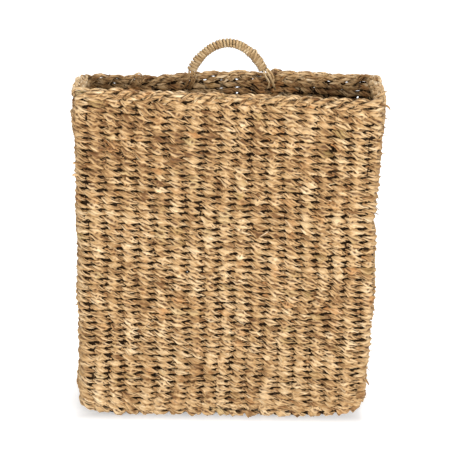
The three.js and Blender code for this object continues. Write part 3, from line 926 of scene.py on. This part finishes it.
# Blades that stick out of the weave: those that the photo shows, and finer ones all over
loose = {
    "seen": [
        [(168, -70, 393), (175.5, -76, 392.6), (178.2, -77, 391), (180.5, -78, 388)],
        [(166, -57, 396), (172.4, -60.4, 402.4), (177.7, -63, 406.7)],
        [(168, -74, 58), (173, -79, 55), (176, -81, 51)],
        [(-168, -68, 318), (-174.1, -75, 320.6), (-176.1, -77, 319.7)],
        [(-168, -68, 305), (-175.4, -72, 305.8), (-177, -73, 304)],
        [(-120, 70, 387), (-116, 69, 396), (-110, 70, 400), (-104, 71, 394)],
        [(-121, 71, 393), (-115, 68, 397), (-108, 66, 397), (-102, 69, 391)],
        [(-111, 66, 388), (-114, 65, 395), (-109, 64, 398), (-103, 66, 390)],
        [(-1, 70, 398), (4, 69, 403), (9, 70, 404), (15, 71, 399)],
        [(3, 68, 396), (6, 66, 401), (11, 66, 401), (17, 68, 396)],
        [(164, 64, 397), (168, 62, 402), (174, 60, 403), (182, 61, 398)],
        [(162, 66, 400), (166, 64, 403), (171, 63, 402), (178, 64, 399)],
    ],
    "seed": 800, "points": 10, "sides": 6, "wide": 3.6, "thick": 2.4, "twist": 2.5,
    "wideTaper": ((0, 0.6, 1), (1, 0.85, 0.25)), "thickTaper": ((0, 0.6, 1), (1, 0.85, 0.3)),
    "fineSeed": 850, "count": 420, "finePoints": 5, "fineWide": 1.5, "fineThick": 0.9,
    "fineRange": (0.6, 1.3), "fineTone": (0.05, 0.12),
    "long": (4.0, 14.0),  # mm along the wall
    "slant": 0.35,
    "root": 1.2,  # mm from the wall's middle
    "leastStand": 3.0,  # mm from there to the least one's end, and the mean of the rest
    "stand": 2.6,
    "topDrop": 2,
}


def looseBlade(at, wide, thick, tone, draw):
    along = tangents(at)
    out = unit(np.cross(along, (0.0, 0.0, 1.0)))
    t = np.linspace(0, 1, len(at))
    return openStrand(
        at, out, np.cross(along, out), wide=wide * np.interp(t, *loose["wideTaper"]),
        thick=thick * np.interp(t, *loose["thickTaper"]), twist=loose["twist"] * t, plies=2,
        creaseDepth=0.2, seed=draw.uniform(0, grass["seeds"]), tint=strandTint(draw, 3, 2 * t, tone))


blades = []
for number, points in enumerate(loose["seen"]):
    draw = default_rng(loose["seed"] + number)
    at = smoothPath(points, loose["points"])
    blades.append(looseBlade(at, loose["wide"], loose["thick"], 0.0, draw))
draw = default_rng(loose["fineSeed"])
t = np.linspace(0, 1, loose["finePoints"])
for number in range(loose["count"]):
    reach = draw.uniform(*loose["long"])
    run = draw.uniform(0, length) + draw.choice([-1, 1]) * reach * t
    drop = draw.uniform(loose["topDrop"], straight) + draw.normal(0, loose["slant"]) * reach * t
    depth = loose["root"] + (draw.exponential(loose["stand"]) + loose["leastStand"]) * t
    at = settle(onWall(wallLoop, 0.0, run, drop, depth)[0])
    wide = loose["fineWide"] * draw.uniform(*loose["fineRange"])
    tone = draw.normal(*loose["fineTone"])
    blades.append(looseBlade(at, wide, loose["fineThick"], tone, draw))
piece = layStrands("looseEnds", blades, rimGrass, loose["sides"])
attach(piece, "basket")

print("stage: floor, lights and camera")
stageSet = {
    "floorHalf": 6.0, "floorColour": (0.8, 0.8, 0.8, 1), "worldLight": 0.35,
    "footprint": (0.42, 1.0, 0.0),  # makes the basket's long footprint round
    "glow": [(0.067, 0.28), (0.09, 0.72), (0.3, 0.84), (1.0, 0.92)],  # metres from its middle, strength; weaker near the basket, a painted shadow on top of its real one
    "key": {"at": (-1.2, -2.6, 0.7), "size": 1.0, "power": 74.0},
    "fill": {"at": (1.9, -2.2, 0.65), "size": 1.0, "power": 64.0},
    "top": {"at": (0.2, 0.7, 2.2), "size": 1.2, "power": 30.0},
    "aim": (0, 0, 0.2),
}


def seenRays(tree):
    # 1 for what the camera or a reflection sees, and 0 for the light that falls on the basket
    path = addNode(tree, "LightPath")
    return addNode(tree, "Math", {"operation": "MAXIMUM"}, None,
                   {0: path.outputs["Is Camera Ray"], 1: path.outputs["Is Glossy Ray"]})


ground = bmesh.new()
bmesh.ops.create_grid(ground, x_segments=2, y_segments=2, size=stageSet["floorHalf"])
floorMesh = bpy.data.meshes.new("floor")
ground.to_mesh(floorMesh)
ground.free()
addObject("floor", floorMesh)

# Matt white paper, which shows pure white away from the basket and keeps its soft shadow, deepened by a
# weaker glow near the basket as painted shadow
paper = bpy.data.materials.new("whitePaper")
tree = emptyTree(paper)
matt = addNode(tree, "BsdfDiffuse", values={"Color": stageSet["floorColour"]})
place = addNode(tree, "TexCoord").outputs["Object"]
squeezed = addNode(tree, "VectorMath", {"operation": "MULTIPLY"}, {1: stageSet["footprint"]}, {0: place})
beside = addNode(tree, "VectorMath", {"operation": "ABSOLUTE"}, None, {0: squeezed})
sides = addNode(tree, "SeparateXYZ", links={"Vector": beside})
distance = addNode(tree, "Math", {"operation": "MAXIMUM"}, None, {0: sides, 1: sides.outputs["Y"]})
brightness = addNode(tree, "ValToRGB", links={"Fac": distance})
fillRamp(brightness, [(away, (level, level, level, 1)) for away, level in stageSet["glow"]])
glow = addNode(tree, "Emission", links={"Color": brightness})
both = addNode(tree, "AddShader", links={0: matt, 1: glow})
pick = addNode(tree, "MixShader", links={0: seenRays(tree), 1: matt, 2: both})
addNode(tree, "OutputMaterial", links={"Surface": pick})
floorMesh.materials.append(paper)

world = bpy.data.worlds.new("studio")
bpy.context.scene.world = world
tree = emptyTree(world)
strength = addNode(tree, "MapRange", values={"To Min": stageSet["worldLight"], "To Max": 1.0},
                   links={"Value": seenRays(tree)})
sky = addNode(tree, "Background", values={"Color": (1, 1, 1, 1)}, links={"Strength": strength})
addNode(tree, "OutputWorld", links={"Surface": sky})

for label in ("key", "fill", "top"):
    spec = stageSet[label]
    lamp = bpy.data.lights.new(label, "AREA")
    lamp.shape = "DISK"
    lamp.size = spec["size"]
    lamp.energy = spec["power"]
    holder = addObject(label, lamp)
    holder.location = spec["at"]
    aim = Vector(stageSet["aim"]) - holder.location
    holder.rotation_euler = aim.to_track_quat("-Z", "Y").to_euler()

# Camera fitted to the photo's outline: about 1.3 m away, looking down 17.6 degrees
view = {
    "target": (5.4, 0.0, 219.6), "distance": 1333.0, "elevation": 17.62, "azimuth": -1.19, "roll": 1.21,
    "lens": 84.72, "sensor": 36,
}
camera = bpy.data.cameras.new("camera")
camera.lens = view["lens"]
camera.sensor_width = view["sensor"]
holder = addObject("camera", camera)
elevation, azimuth = math.radians(view["elevation"]), math.radians(view["azimuth"])
back = Vector((math.sin(azimuth) * math.cos(elevation), -math.cos(azimuth) * math.cos(elevation),
               math.sin(elevation)))
roll = Matrix.Rotation(math.radians(view["roll"]), 3, "Z")
turned = (-back).to_track_quat("-Z", "Y").to_matrix() @ roll
spot = Vector(view["target"]) * mm + back * view["distance"] * mm
holder.matrix_world = Matrix.Translation(spot) @ turned.to_4x4()
bpy.context.scene.camera = holder
bpy.context.scene.view_settings.view_transform = "Standard"
